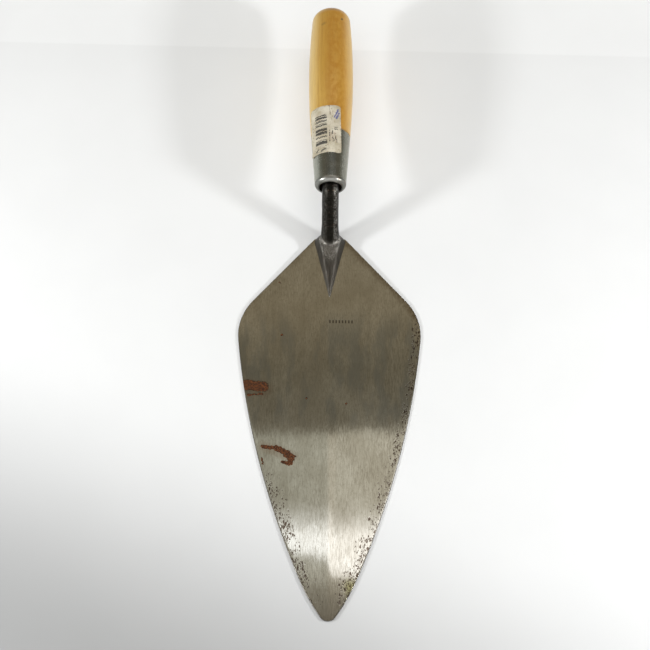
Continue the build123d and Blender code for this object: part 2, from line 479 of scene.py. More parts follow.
def make_wedge():
    """A closed height field over the wedge's plan."""
    rows, columns = 60, 40
    vertices, faces = [], []
    start, end = HEEL_Y - WEDGE_LENGTH + 0.3, HEEL_Y + HEEL_OVERHANG
    for j in range(rows + 1):
        y = start + (end - start) * j / rows
        setback = y - (HEEL_Y - WEDGE_LENGTH)
        half = min(setback * WEDGE_SPREAD, WEDGE_HALF_WIDTH) + 0.3
        if y > HEEL_Y - 2:
            half = min(half, HEEL_HALF - (y - HEEL_Y) * tan(radians(BACK_ANGLE)))
        across = [half * (2 * i / columns - 1) for i in range(columns + 1)]
        vertices += [(x, y, max(wedge_height(x, y), 0.9)) for x in across]
        vertices += [(x, y, 0.25) for x in across]
    width = 2 * (columns + 1)
    for j in range(rows):
        a, b = j * width, (j + 1) * width
        for i in range(columns):
            faces.append((a + i, a + i + 1, b + i + 1, b + i))
            k = columns + 1 + i
            faces.append((a + k + 1, a + k, b + k, b + k + 1))
        faces.append((a, b, b + columns + 1, a + columns + 1))
        faces.append((a + columns, a + width - 1, b + width - 1, b + columns))
    last = rows * width
    for i in range(columns):
        faces.append((i + 1, i, columns + 1 + i, columns + 2 + i))
        faces.append((last + i, last + i + 1, last + columns + 2 + i, last + columns + 1 + i))
    return vertices, faces


def make_tang():
    """The square taper inside the wood."""
    vertices = []
    for y, width in ((SEAT_Y - 2, TANG_WIDTH), (SEAT_Y, TANG_WIDTH), (shank_high.y, TANG_END_WIDTH)):
        for sx, sz in ((-1, -1), (1, -1), (1, 1), (-1, 1)):
            vertices.append((sx * width / 2, y, AXIS_Z + sz * width / 2))
    faces = [(0, 1, 2, 3), (11, 10, 9, 8)]
    for j in (0, 4):
        faces += [(j + i, j + 4 + i, j + 4 + (i + 1) % 4, j + (i + 1) % 4) for i in range(4)]
    return vertices, faces


def make_shank():
    """Wedge, neck and tang, melted into one forging."""
    parts = bmesh.new()

    def flare(along):
        return NECK_RADIUS + (FLARE_RADIUS - NECK_RADIUS) * smooth_step(17, 4, along)

    for vertices, faces in (make_wedge(), tube(neck_path(), flare), make_tang()):
        added = [parts.verts.new(Vector(v) * MM) for v in vertices]
        for face in faces:
            parts.faces.new([added[i] for i in face])
    bmesh.ops.recalc_face_normals(parts, faces=parts.faces)
    mesh = bpy.data.meshes.new("shank_parts")
    parts.to_mesh(mesh)
    parts.free()
    rough = bpy.data.objects.new("shank_parts", mesh)
    bpy.context.scene.collection.objects.link(rough)
    melt = rough.modifiers.new("melt", "REMESH")
    melt.mode = "VOXEL"
    melt.voxel_size = MELT_SIZE * MM
    relax = rough.modifiers.new("relax", "SMOOTH")
    relax.factor = 0.5
    relax.iterations = 6
    graph = bpy.context.evaluated_depsgraph_get()
    forged = bpy.data.meshes.new_from_object(rough.evaluated_get(graph))
    bpy.data.objects.remove(rough)
    for vertex in forged.vertices:
        x, y, z = vertex.co / MM
        if y < SEAT_Y - 1:
            dent = 0.10 * wobble(x, y, z, 5.5) + 0.05 * wobble(x, y, z + 40, 2.2)
            vertex.co += vertex.normal * dent * MM
    forged.shade_smooth()
    piece = bpy.data.objects.new("shank_forged", forged)
    bpy.context.scene.collection.objects.link(piece)
    return piece


# Label


def make_label():
    """A thin paper shell bent round the grip, with rounded corners and lifted edges."""
    across, along = 60, 90
    start, end = label_low.y, label_high.y
    vertices, faces, uvs = [], [], []

    def paper(u, y, lift):
        radius = grip_radius(y)
        angle = radians(-LABEL_TURN) + u / radius
        r = radius + lift
        return (r * sin(angle), y, AXIS_Z + r * cos(angle))

    for top in (True, False):
        for j in range(along + 1):
            y = start + (end - start) * j / along
            near_end = min(y - start, end - y)
            half = LABEL_WIDTH / 2
            if near_end < LABEL_CORNER:
                drop = LABEL_CORNER - near_end
                half -= LABEL_CORNER - sqrt(max(LABEL_CORNER**2 - drop**2, 0.0))
            for i in range(across + 1):
                u = half * (2 * i / across - 1)
                edge = min(half - abs(u), near_end)
                lift = 0.04 + 0.10 * smooth_step(1.5, 0, edge) * (0.5 + wobble(u, y, 3, 6))
                lift += 0.03 * wobble(u, y, 0, 3)
                # the front left-hand corner stands up a little
                lift += 0.5 * smooth_step(LABEL_FLAP, 0.0, hypot(u + LABEL_WIDTH / 2, y - start))
                lift = max(lift, 0.02)
                vertices.append(paper(u, y, lift + (LABEL_THICKNESS if top else 0.0)))
                uvs.append(((u + LABEL_WIDTH / 2) / 100, (y - start) / 100))
    size = (across + 1) * (along + 1)
    for j in range(along):
        for i in range(across):
            a = j * (across + 1) + i
            b = a + across + 1
            faces.append((a, a + 1, b + 1, b))
            faces.append((size + a + 1, size + a, size + b, size + b + 1))
    rim = list(range(across + 1))
    rim += [j * (across + 1) + across for j in range(1, along + 1)]
    rim += [along * (across + 1) + i for i in range(across - 1, -1, -1)]
    rim += [j * (across + 1) for j in range(along - 1, 0, -1)]
    for a, b in zip(rim, rim[1:] + rim[:1]):
        faces.append((b, a, size + a, size + b))
    piece = piece_from("label_paper", vertices, faces, uvs)
    fix_normals(piece)
    return piece


# ---------------- materials


class Nodes:
    """Short calls for building a tree of shader nodes."""

    def __init__(self, owner, shader="ShaderNodeBsdfPrincipled", output="ShaderNodeOutputMaterial"):
        owner.use_nodes = True
        self.tree = owner.node_tree
        self.tree.nodes.clear()
        self.surface = self.add(shader)
        self.link(self.surface.outputs[0], self.add(output).inputs["Surface"])

    def add(self, kind, **settings):
        node = self.tree.nodes.new(kind)
        for key, value in settings.items():
            setattr(node, key, value)
        return node

    def link(self, source, target):
        """Join two sockets, or set the target to a constant."""
        if isinstance(source, bpy.types.NodeSocket):
            self.tree.links.new(source, target)
        else:
            target.default_value = source

    def fill(self, node, *values):
        """Set a node's inputs in their own order, and hand back its first output."""
        for socket, value in zip(node.inputs, values):
            self.link(value, socket)
        return node.outputs[0]

    def set(self, name, value):
        """Give the shader's own socket a constant or another node's result."""
        self.link(value, self.surface.inputs[name])

    def math(self, operation, a, b=0.0, clamp=False):
        return self.fill(self.add("ShaderNodeMath", operation=operation, use_clamp=clamp), a, b)

    def chain(self, operation, values):
        """One operation over several values, from left to right."""
        result = values[0]
        for value in values[1:]:
            result = self.math(operation, result, value)
        return result

    def times(self, *values):
        return self.chain("MULTIPLY", values)

    def plus(self, *values):
        return self.chain("ADD", values)

    def most(self, *values):
        """The greatest of several masks."""
        return self.chain("MAXIMUM", values)

    def minus(self, a, b):
        return self.math("SUBTRACT", a, b)

    def absolute(self, value):
        return self.math("ABSOLUTE", value)

    def vector(self, operation, a, b=(0, 0, 0)):
        node = self.add("ShaderNodeVectorMath", operation=operation)
        self.fill(node, a, b)
        return node.outputs["Value" if operation == "LENGTH" else "Vector"]

    def place(self):
        """The point's place in the frame, in millimetres."""
        coordinates = self.add("ShaderNodeTexCoord").outputs["Object"]
        return self.vector("MULTIPLY", coordinates, (1000, 1000, 1000))

    def split(self, vector):
        node = self.add("ShaderNodeSeparateXYZ")
        self.link(vector, node.inputs[0])
        return node.outputs

    def combine(self, x, y, z=0.0):
        return self.fill(self.add("ShaderNodeCombineXYZ"), x, y, z)

    def noise_node(self, vector, scale, detail=3.0, rough=0.5):
        node = self.add("ShaderNodeTexNoise")
        for name, value in (("Vector", vector), ("Scale", scale), ("Detail", detail), ("Roughness", rough)):
            self.link(value, node.inputs[name])
        return node

    def noise(self, *settings, **more):
        return self.noise_node(*settings, **more).outputs[0]

    def streaks(self, vector, scales, **more):
        """Noise with its own scale along each axis."""
        return self.noise(self.vector("MULTIPLY", vector, scales), 1.0, **more)

    def shaken(self, place, by, scale, x, y):
        """A place moved by up to about x and y, with noise over another place."""
        shift = self.vector("SUBTRACT", self.noise_node(by, scale).outputs["Color"], (0.5, 0.5, 0.5))
        return self.vector("ADD", place, self.vector("MULTIPLY", shift, (x, y, 0)))

    def range(self, value, low, high, to_low=0.0, to_high=1.0):
        node = self.add("ShaderNodeMapRange", interpolation_type="SMOOTHSTEP")
        return self.fill(node, value, low, high, to_low, to_high)

    def mix(self, share, a, b, blend="MIX"):
        node = self.add("ShaderNodeMix", data_type="RGBA", blend_type=blend)
        self.link(share, node.inputs["Factor"])
        for socket, colour in zip(node.inputs[6:8], (a, b)):
            self.link((*colour, 1.0) if isinstance(colour, tuple) else colour, socket)
        return node.outputs[2]

    def bump(self, height, distance, strength, under=None):
        node = self.add("ShaderNodeBump")
        self.link(strength, node.inputs["Strength"])
        self.link(distance, node.inputs["Distance"])
        self.link(height, node.inputs["Height"])
        if under is not None:
            self.link(under, node.inputs["Normal"])
        return node.outputs[0]

    def punched_ticks(self, x, y):
        """A short row of plain upright ticks on the blade, below the wedge."""
        off = self.minus(x, MARK_X)
        tick = self.range(self.math("PINGPONG", off, 1.1), 0.50, 0.68)
        near_x = self.range(self.absolute(off), MARK_HALF + 0.1, MARK_HALF - 0.1)
        near_y = self.range(self.absolute(self.minus(y, MARK_Y)), 1.45, 1.05)
        return self.times(near_x, near_y, tick)

    def dots(self, place, x, y, share):
        """Ragged dots, one to a cell, in a share of the cells."""
        cell = self.add("ShaderNodeTexVoronoi")
        bent = self.shaken(place, place, 0.9, 1.4, 1.6)
        self.link(self.vector("MULTIPLY", bent, (x, y, 0.01)), cell.inputs["Vector"])
        self.link(1.0, cell.inputs["Scale"])
        chosen = self.range(self.minus(share, self.split(cell.outputs["Color"])[0]), 0.0, 0.06)
        return self.times(chosen, self.range(cell.outputs["Distance"], 0.46, 0.30))

    def stroke(self, place, start, end, radius, soft=0.4):
        """A mask around the line from start to end, of the given radius."""
        dx, dy = end[0] - start[0], end[1] - start[1]
        x, y, _ = self.split(place)
        px, py = self.minus(x, start[0]), self.minus(y, start[1])
        along = self.plus(self.times(px, dx), self.times(py, dy))
        along = self.math("DIVIDE", along, max(dx * dx + dy * dy, 1e-6), clamp=True)
        off = self.combine(self.minus(px, self.times(along, dx)), self.minus(py, self.times(along, dy)))
        return self.range(self.vector("LENGTH", off), radius + soft, radius - soft)

    def strokes(self, place, *lines):
        """A mask around several lines, each a start, an end, a radius and perhaps a softness."""
        return self.most(*(self.stroke(place, *line) for line in lines))


def side_circle():
    """Centre (x, y) of the arc of the blade's long right-hand side."""
    x, y = 0.0, TIP_Y
    for radius, start, end in EDGE_ARCS[:2]:
        x, y = along_arc(x, y, radius, start, end)
    side = radians(SIDE_ANGLE)
    return x - SIDE_RADIUS * cos(side), y + SIDE_RADIUS * sin(side)


def blade_material():
    material = bpy.data.materials.new("ground_steel")
    n = Nodes(material)
    place = n.place()
    x, y, _ = n.split(place)
    ragged = n.shaken(place, place, 0.35, 3.0, 2.2)
    ragged = n.shaken(ragged, place, 1.1, 2.2, 2.2)

    # grinding lines along the blade, over slow patches
    hair = n.streaks(place, (1.8, 0.19, 0.5), detail=4, rough=0.7)
    dashes = n.streaks(place, (1.0, 0.12, 0.5), detail=2, rough=0.5)
    grit = n.streaks(place, (0.8, 0.5, 0.5), detail=4, rough=0.7)
    bands = n.streaks(place, (0.30, 0.012, 0.5), detail=2)
    patches = n.streaks(place, (0.04, 0.03, 0.05), detail=4, rough=0.6)
    steel = n.mix(n.range(patches, 0.35, 0.65), (0.62, 0.60, 0.545), (0.76, 0.75, 0.705))
    slow = n.streaks(place, (0.03, 0.02, 0.03), detail=2)
    depth = n.times(n.range(slow, 0.35, 0.65, 0.35, 0.62), n.range(y, 10, -110, 0.75, 1.15))
    steel = n.mix(n.times(n.range(hair, 0.40, 0.66), depth), steel, (0.33, 0.305, 0.255))
    steel = n.mix(n.range(grit, 0.50, 0.68, 0.0, 0.35), steel, (0.34, 0.31, 0.25))
    cool = n.streaks(place, (0.075, 0.022, 0.05), detail=3, rough=0.6)
    cool = n.times(n.range(y, 5, -30), n.range(y, -100, -80), n.range(cool, 0.44, 0.62, 0.0, 0.60))
    steel = n.mix(cool, steel, (0.42, 0.445, 0.46))
    steel = n.mix(n.range(bands, 0.45, 0.75, 0.0, 0.22), steel, (0.42, 0.40, 0.34))

    # distance in from the long edges
    centre_x, centre_y = side_circle()
    reach = n.combine(n.minus(n.absolute(x), centre_x), n.minus(y, centre_y))
    inset = n.minus(SIDE_RADIUS, n.vector("LENGTH", reach))

    # browned along the back edges, worse on the right
    back = n.times(n.minus(HEEL_HALF, n.absolute(x)), BACK_NORMAL.x)
    back = n.plus(back, n.times(n.minus(HEEL_Y, y), BACK_NORMAL.y), n.times(n.minus(patches, 0.5), 12.0))
    browned = n.times(n.range(back, 6.5, 0.4), n.range(x, -20, 20, 0.30, 0.80))
    steel = n.mix(n.times(browned, n.range(grit, 0.35, 0.60, 0.35, 1.0)), steel, (0.26, 0.20, 0.135))

    # pitting, thickest along the edges near the point and down the right-hand side
    near_edge = n.range(n.plus(inset, n.times(patches, 8.0)), 17.0, 4.5)
    toward_point = n.times(n.range(y, -112, -150), n.range(y, -222, -208))
    right_side = n.times(n.range(y, 16, 0), n.range(inset, 9.0, 4.0), n.range(x, 15, 25))
    clumps = n.range(n.streaks(place, (0.17, 0.075, 0.1), detail=3, rough=0.6), 0.40, 0.58, 0.22, 1.0)
    field = n.most(n.times(near_edge, n.most(toward_point, right_side), clumps, 0.90), 0.008)
    pits = n.most(
        n.dots(place, 0.85, 0.45, field),
        n.dots(n.vector("ADD", place, (7.3, 3.1, 0)), 1.35, 0.80, field),
        n.dots(n.vector("ADD", place, (3.7, 9.2, 0)), 0.62, 0.26, n.times(field, 0.40)),
    )
    pits = n.times(pits, n.range(inset, 0.25, 0.8))

    # the marks below are on the upper face alone
    upright = n.split(n.add("ShaderNodeNewGeometry").outputs["Normal"])[2]
    upper = n.range(upright, -0.2, 0.2)

    # two runs of rust at the left-hand edge, and a few lone specks
    rust = n.strokes(
        ragged,
        ((-45.0, -116.5), (-43.8, -120.5), 0.5),
        ((-44.0, -108.0), (-35.0, -109.0), 1.2),
        ((-35.0, -109.0), (-28.5, -112.8), 2.1),
        ((-28.5, -112.8), (-24.8, -116.0), 2.5),
        ((-24.8, -116.0), (-26.0, -119.6), 1.9),
        ((-26.0, -119.6), (-30.5, -119.4), 1.0),
        ((-56.5, -62.5), (-45.0, -64.0), 3.6, 0.9),
        ((-55.0, -70.3), (-45.0, -69.3), 0.6),
        ((-33.1, -24.9), (-32.8, -24.4), 0.6),
        ((11.4, -76.7), (11.9, -76.3), 0.5),
        ((-15.4, -72.9), (-15.0, -72.5), 0.5),
        ((-35.9, 17.1), (-35.2, 16.8), 0.5),
    )
    grain = n.noise(place, 1.1, detail=4, rough=0.7)
    rust = n.times(rust, upper, n.range(grain, 0.22, 0.40))
    halo = n.strokes(ragged, ((-44, -108), (-25, -115), 3.5, 3.0), ((-57, -63), (-44, -66), 5.0, 4.0))
    halo = n.times(n.range(halo, 0, 1, 0, 0.30), upper)
    rust_colour = n.mix(n.range(grain, 0.42, 0.60), (0.032, 0.013, 0.007), (0.140, 0.048, 0.014))

    # a plain punched mark: a row of identical ticks, which spell nothing
    marks = n.times(n.punched_ticks(x, y), upper)

    edge = n.range(n.absolute(upright), 0.975, 0.86)
    steel = n.mix(n.times(edge, 0.88), steel, (0.10, 0.095, 0.085))
    steel = n.mix(n.range(y, -190, -222, 0.0, 0.45), steel, (0.33, 0.30, 0.25))
    steel = n.mix(halo, steel, (0.30, 0.17, 0.09))
    green = n.stroke(ragged, (14.5, -204.0), (15.5, -209.0), 3.0, soft=4.0)
    green = n.times(green, n.math("SUBTRACT", upper, edge, clamp=True))
    steel = n.mix(green, steel, (0.50, 0.49, 0.27))
    steel = n.mix(n.times(pits, 0.90), steel, (0.080, 0.042, 0.025))
    steel = n.mix(n.times(marks, 0.80), steel, (0.10, 0.085, 0.065))
    steel = n.mix(n.range(rust, 0.15, 0.50), steel, rust_colour)
    n.set("Base Color", steel)

    dull = n.range(rust, 0.35, 0.70)
    n.set("Metallic", n.minus(1.0, n.times(dull, 0.95)))
    rough = n.range(n.plus(n.times(dashes, 0.6), n.times(patches, 0.4)), 0.35, 0.65, 0.045, 0.062)
    rough = n.plus(rough, n.times(halo, 0.05), n.times(edge, 0.30))
    n.set("Roughness", n.math("ADD", rough, n.times(dull, 0.6), clamp=True))
    n.set("Anisotropic", 1.0)
    tangent = n.add("ShaderNodeTangent", direction_type="UV_MAP", uv_map="layout")
    n.set("Tangent", tangent.outputs[0])

    lines = n.bump(dashes, 0.000010, 0.8)
    scars = n.bump(n.plus(n.times(pits, -1.0), n.times(marks, -1.5)), 0.00002, 0.4, under=lines)
    crust = n.bump(n.times(dull, grain), 0.00012, 0.6, under=scars)
    n.set("Normal", crust)
    return material


def shank_material():
    material = bpy.data.materials.new("forge_scale")
    n = Nodes(material)
    place = n.place()
    x, y, z = n.split(place)
    speckle = n.noise(place, 1.5, detail=5, rough=0.7)
    lumps = n.noise(place, 0.35, detail=3)
    drawn = n.streaks(place, (0.9, 0.12, 0.12), detail=3)
    wedge = n.range(z, 13.0, 8.5)
    scale = n.mix(n.range(speckle, 0.35, 0.65), (0.007, 0.0063, 0.005), (0.029, 0.027, 0.022))
    worn = n.mix(n.range(drawn, 0.35, 0.65), (0.098, 0.091, 0.080), (0.148, 0.137, 0.121))
    worn = n.mix(n.range(n.absolute(x), 3.0, 6.0, 0.0, 0.60), worn, (0.050, 0.046, 0.038))
    colour = n.mix(wedge, scale, worn)
    # painted highlight: bright flecks along the foot of the neck where it meets the wedge, and down both
    # sides of the neck, stronger on the right
    off = n.absolute(x)
    foot_glints = n.times(n.range(z, 7.2, 8.2), n.range(z, 11.0, 9.0), n.range(speckle, 0.48, 0.60))
    junction_glint_speckle = n.range(n.noise(place, 1.0, detail=4, rough=0.75), 0.50, 0.58)
    junction_glints = n.times(n.range(off, 5.0, 2.5), n.range(y, 36, 43), n.range(z, 9.0, 8.0), junction_glint_speckle)
    flecks = n.range(n.noise(place, 2.2, detail=3, rough=0.7), 0.52, 0.62)
    sides = n.times(n.range(off, 1.8, 3.2), n.range(off, 5.7, 4.8), n.range(z, 9.0, 13.0))
    sides = n.times(sides, n.range(lumps, 0.35, 0.55), flecks, n.range(x, -4, 4, 0.18, 0.75))
    painted_glints = n.most(junction_glints, foot_glints, sides)
    # the painted highlights lighten the colour here
    colour = n.mix(painted_glints, colour, (0.60, 0.58, 0.54))
    brown = n.times(n.range(lumps, 0.58, 0.74), n.range(speckle, 0.45, 0.60))
    colour = n.mix(n.times(brown, 0.6), colour, (0.12, 0.065, 0.035))
    n.set("Base Color", colour)
    n.set("Metallic", n.minus(0.95, n.times(brown, 0.6)))
    smoothest, roughest = n.range(wedge, 0, 1, 0.30, 0.38), n.range(wedge, 0, 1, 0.50, 0.58)
    n.set("Roughness", n.range(n.plus(speckle, n.times(painted_glints, -0.1)), 0.3, 0.7, smoothest, roughest))
    dents = n.bump(speckle, 0.00022, 0.75)
    n.set("Normal", n.bump(lumps, 0.0006, 0.4, under=dents))
    return material


def ferrule_material():
    material = bpy.data.materials.new("drawn_steel")
    n = Nodes(material)
    place = n.place()
    x, y, _ = n.split(place)
    drawn = n.streaks(place, (0.9, 0.05, 0.9), detail=4, rough=0.6)
    cloud = n.noise(place, 0.12, detail=4, rough=0.6)
    fine = n.streaks(place, (2.5, 0.8, 2.5), detail=3)
    # painted reflection: the metal is paler on the left side, darker and bluish along the top, and darker
    # and browner on the right
    left, right = n.range(x, -1.5, -8.5), n.range(x, 2.5, 7.0)
    metal = n.mix(left, (0.245, 0.270, 0.280), (0.375, 0.385, 0.330))
    metal = n.mix(right, metal, (0.268, 0.264, 0.218))
    metal = n.mix(n.range(cloud, 0.35, 0.65, 0.0, 0.30), metal, (0.42, 0.42, 0.38))
    metal = n.mix(n.range(drawn, 0.45, 0.70, 0.0, 0.35), metal, (0.33, 0.325, 0.29))
    lip = n.range(y, MOUTH_Y + 4.2, MOUTH_Y + 2.6)
    off = n.absolute(x)
    # painted highlight: the lip's crest is paler in the middle; painted shade: it is darker towards both
    # sides
    metal = n.mix(n.times(lip, n.range(off, 6.0, 3.0, 0.15, 0.80)), metal, (0.70, 0.70, 0.67))
    metal = n.mix(n.times(lip, n.range(off, 5.0, 7.5, 0.0, 0.65)), metal, (0.12, 0.125, 0.12))
    blots = n.noise(place, 0.9, detail=4, rough=0.7)
    stain = n.times(lip, n.range(x, 1.0, 5.0), n.range(blots, 0.56, 0.64))
    metal = n.mix(n.times(stain, 0.85), metal, (0.16, 0.075, 0.035))
    n.set("Base Color", metal)
    n.set("Metallic", n.minus(1.0, n.times(stain, 0.7)))
    rough = n.range(n.plus(n.times(drawn, 0.5), n.times(cloud, 0.5)), 0.35, 0.65, 0.20, 0.30)
    n.set("Roughness", n.plus(rough, n.times(lip, 0.07)))
    n.set("Normal", n.bump(n.plus(fine, n.times(drawn, 1.5)), 0.00003, 0.5))
    return material


def wood_material():
    material = bpy.data.materials.new("lacquered_wood")
    n = Nodes(material)
    place = n.place()
    sway = n.streaks(place, (0.03, 0.006, 0.03), detail=2)
    x, y, z = n.split(place)
    # growth rings about a line beside and below the grip, cut along their length
    away = n.combine(n.minus(x, -34.0), n.times(y, 0.012), n.minus(z, AXIS_Z - 62.0))
    ripple = n.streaks(place, (0.25, 0.012, 0.25), detail=2)
    ring = n.plus(n.vector("LENGTH", away), n.times(sway, 14.0), n.times(ripple, 2.0))
    phase = n.math("FRACT", n.math("DIVIDE", ring, 2.7))
    late = n.times(n.range(phase, 0.35, 0.88), n.range(phase, 1.0, 0.93))
    fibres = n.streaks(place, (2.6, 0.07, 2.6), detail=4, rough=0.65)
    streaks = n.streaks(place, (0.42, 0.010, 0.42), detail=3, rough=0.55)
    tone = n.streaks(place, (0.07, 0.012, 0.07), detail=3)
    pores = n.range(n.streaks(place, (3.4, 0.30, 3.4), detail=2), 0.63, 0.72)

    wood = n.mix(n.range(tone, 0.35, 0.65), (0.50, 0.285, 0.045), (0.60, 0.375, 0.085))
    wood = n.mix(n.times(late, n.range(streaks, 0.35, 0.65, 0.15, 0.50)), wood, (0.38, 0.175, 0.022))
    wood = n.mix(n.range(fibres, 0.42, 0.70, 0.0, 0.50), wood, (0.40, 0.205, 0.030))
    wood = n.mix(n.range(streaks, 0.54, 0.74, 0.0, 0.45), wood, (0.38, 0.170, 0.020))
    figure = n.streaks(place, (0.40, 0.22, 0.40), detail=4, rough=0.6)
    heart = n.range(n.absolute(n.minus(x, 4.0)), 12.0, 3.0)
    wood = n.mix(n.times(heart, n.range(figure, 0.38, 0.66, 0.40, 0.92)), wood, (0.40, 0.175, 0.011))
    # painted sheen: the grip's left and right sides are paler, standing in for the lamps' reflection in the
    # lacquer
    sides = n.range(n.absolute(n.minus(x, 0.8)), 7.5, 14.5, 0.0, 0.55)
    wood = n.mix(n.times(sides, n.range(fibres, 0.35, 0.65, 1.0, 0.65)), wood, (0.72, 0.54, 0.175))
    # painted shade: the right-hand side is a little darker and more orange
    wood = n.mix(n.range(x, 1, 8, 0.0, 0.24), wood, (0.46, 0.21, 0.0))
    worn_end = n.times(n.range(y, BUTT_Y - 9, BUTT_Y - 2), n.range(figure, 0.35, 0.60))
    wood = n.mix(n.times(worn_end, 0.45), wood, (0.42, 0.36, 0.22))
    wood = n.mix(n.times(pores, 0.40), wood, (0.22, 0.105, 0.025))
    # grime: a dark knock near the butt, a smudge, and dirt against the ferrule
    near = n.shaken(place, place, 0.8, 1.2, 1.2)
    knock = n.stroke(near, (7.7, 212.6), (7.9, 213.4), 0.7)
    smudge = n.stroke(near, (-6.3, 207.2), (-5.2, 207.8), 1.0, soft=1.0)
    dirt = n.times(n.range(y, SEAM_Y + 1.6, SEAM_Y + 0.1), 0.65)
    above = n.range(z, AXIS_Z, AXIS_Z + 3)
    grime = n.most(n.times(knock, above), n.times(smudge, above, 0.45), dirt)
    wood = n.mix(n.times(grime, 0.85), wood, (0.085, 0.050, 0.022))
    n.set("Base Color", wood)
    rough = n.plus(n.times(fibres, 0.5), n.times(tone, 0.5))
    n.set("Roughness", n.range(rough, 0.35, 0.65, 0.34, 0.44))
    n.set("Coat Weight", 0.45)
    n.set("Coat Roughness", 0.32)
    dips = n.plus(n.times(pores, -0.7), n.times(fibres, 0.5))
    n.set("Normal", n.bump(dips, 0.00005, 0.6))
    return material


def label_material():
    material = bpy.data.materials.new("printed_label")
    n = Nodes(material)
    uv = n.add("ShaderNodeUVMap", uv_map="layout").outputs[0]
    sheet = n.vector("MULTIPLY", uv, (100, 100, 0))
    across, along, _ = n.split(sheet)

    def between(value, low, high, soft):
        return n.times(n.range(value, low - soft, low + soft), n.range(value, high + soft, high - soft))

    def window(left, right, low, high, soft=0.12):
        """A soft-edged oblong of the sheet."""
        return n.times(between(across, left, right, soft), between(along, low, high, soft))

    # plain bars of chance widths, which encode nothing
    uneven = n.streaks(sheet, (0.9, 0.25, 1), detail=3, rough=0.7)
    uneven = n.times(n.minus(uneven, 0.5), 2.6)
    step = n.math("FLOOR", n.math("DIVIDE", n.plus(along, uneven), 0.52))
    chance = n.add("ShaderNodeTexWhiteNoise", noise_dimensions="1D")
    n.link(step, chance.inputs["W"])
    rubbed = n.noise(sheet, 0.55, detail=4, rough=0.65)
    bars = n.times(n.range(chance.outputs["Value"], 0.38, 0.40), window(5.8, 15.2, 7.0, 32.0, soft=0.35))
    bars = n.times(bars, n.range(rubbed, 0.34, 0.44, 0.45, 1.0))
    # short dashes in place of every printed line
    step = n.math("FLOOR", n.math("DIVIDE", along, 0.9))
    lane = n.math("FLOOR", n.math("DIVIDE", across, 2.0))
    picks = n.add("ShaderNodeTexWhiteNoise", noise_dimensions="2D")
    n.link(n.combine(step, lane), picks.inputs["Vector"])
    rows = n.range(n.math("PINGPONG", across, 1.0), 0.62, 0.70)
    blocks = n.most(window(16.6, 21.5, 8.5, 19.0), window(2.4, 4.6, 9.0, 24.0))
    dashes = n.times(n.range(picks.outputs["Value"], 0.42, 0.44), rows, blocks)
    dashes = n.times(dashes, n.range(rubbed, 0.40, 0.52, 0.1, 0.9))
    # a wandering line of blue pen
    bent = n.shaken(sheet, sheet, 0.35, 3.5, 3.0)
    pen = n.strokes(
        bent,
        ((20.8, 28.4), (23.4, 34.6), 0.55, 0.35),
        ((22.4, 27.8), (24.2, 32.4), 0.45, 0.35),
    )
    # short stubs of ink, and creases
    stubs = n.strokes(
        bent,
        ((20.8, 18.4), (22.6, 18.8), 0.38, 0.22),
        ((20.8, 20.2), (22.4, 20.4), 0.38, 0.22),
        ((18.2, 15.2), (19.2, 17.6), 0.26, 0.20),
        ((19.4, 8.6), (19.6, 11.2), 0.24, 0.20),
        ((21.6, 8.4), (21.8, 11.0), 0.24, 0.20),
        ((6.0, 2.2), (8.4, 3.4), 0.36, 0.30),
        ((11.0, 1.8), (13.8, 2.8), 0.55, 0.35),
    )
    tears = n.strokes(
        bent,
        ((17.6, 31.0), (17.2, 38.5), 0.20, 0.16),
        ((19.0, 26.0), (19.6, 36.0), 0.12, 0.12),
        ((16.4, 3.0), (16.2, 12.0), 0.08, 0.10),
    )

    age = n.noise(sheet, 0.09, detail=4, rough=0.6)
    fibre = n.streaks(sheet, (1.2, 1.2, 1), detail=4, rough=0.7)
    paper = n.mix(n.range(age, 0.35, 0.65), (0.43, 0.380, 0.275), (0.63, 0.590, 0.485))
    paper = n.mix(n.range(fibre, 0.45, 0.75, 0.0, 0.30), paper, (0.40, 0.34, 0.24))
    sides = n.most(n.range(across, 1.6, 0.2), n.range(across, 23.8, 25.2))
    edge = n.most(sides, n.range(along, 1.6, 0.2), n.range(along, 36.5, 37.9))
    foxing = n.times(n.range(n.plus(rubbed, n.times(edge, 0.10)), 0.56, 0.70), 0.65)
    paper = n.mix(foxing, paper, (0.30, 0.215, 0.125))
    blots = n.times(n.range(fibre, 0.52, 0.60), window(4.5, 15.5, 0.8, 6.0, soft=1.0))
    paper = n.mix(n.times(blots, 0.8), paper, (0.07, 0.06, 0.055))
    red = n.times(n.range(fibre, 0.50, 0.57), window(16.5, 22.0, 9.0, 16.0, soft=1.2))
    paper = n.mix(n.times(red, 0.5), paper, (0.25, 0.085, 0.060))
    paper = n.mix(n.times(n.most(bars, dashes, stubs), 0.92), paper, (0.022, 0.021, 0.022))
    paper = n.mix(n.times(pen, 0.85), paper, (0.030, 0.050, 0.260))
    paper = n.mix(n.times(tears, 0.7), paper, (0.16, 0.115, 0.075))
    n.set("Base Color", paper)
    n.set("Roughness", n.range(fibre, 0.3, 0.7, 0.55, 0.75))
    n.set("Specular IOR Level", 0.35)
    n.set("Normal", n.bump(n.plus(fibre, n.times(tears, -1.0)), 0.00007, 0.5))
    return material


place(make_blade(), "blade", "blade_steel", blade_material())
place(make_shank(), "shank", "forged_steel", shank_material())
place(make_ferrule(), "ferrule", "ferrule_steel", ferrule_material())
place(make_handle(), "handle", "handle_wood", wood_material())
place(make_label(), "label", "label_paper", label_material())


# ---------------- studio


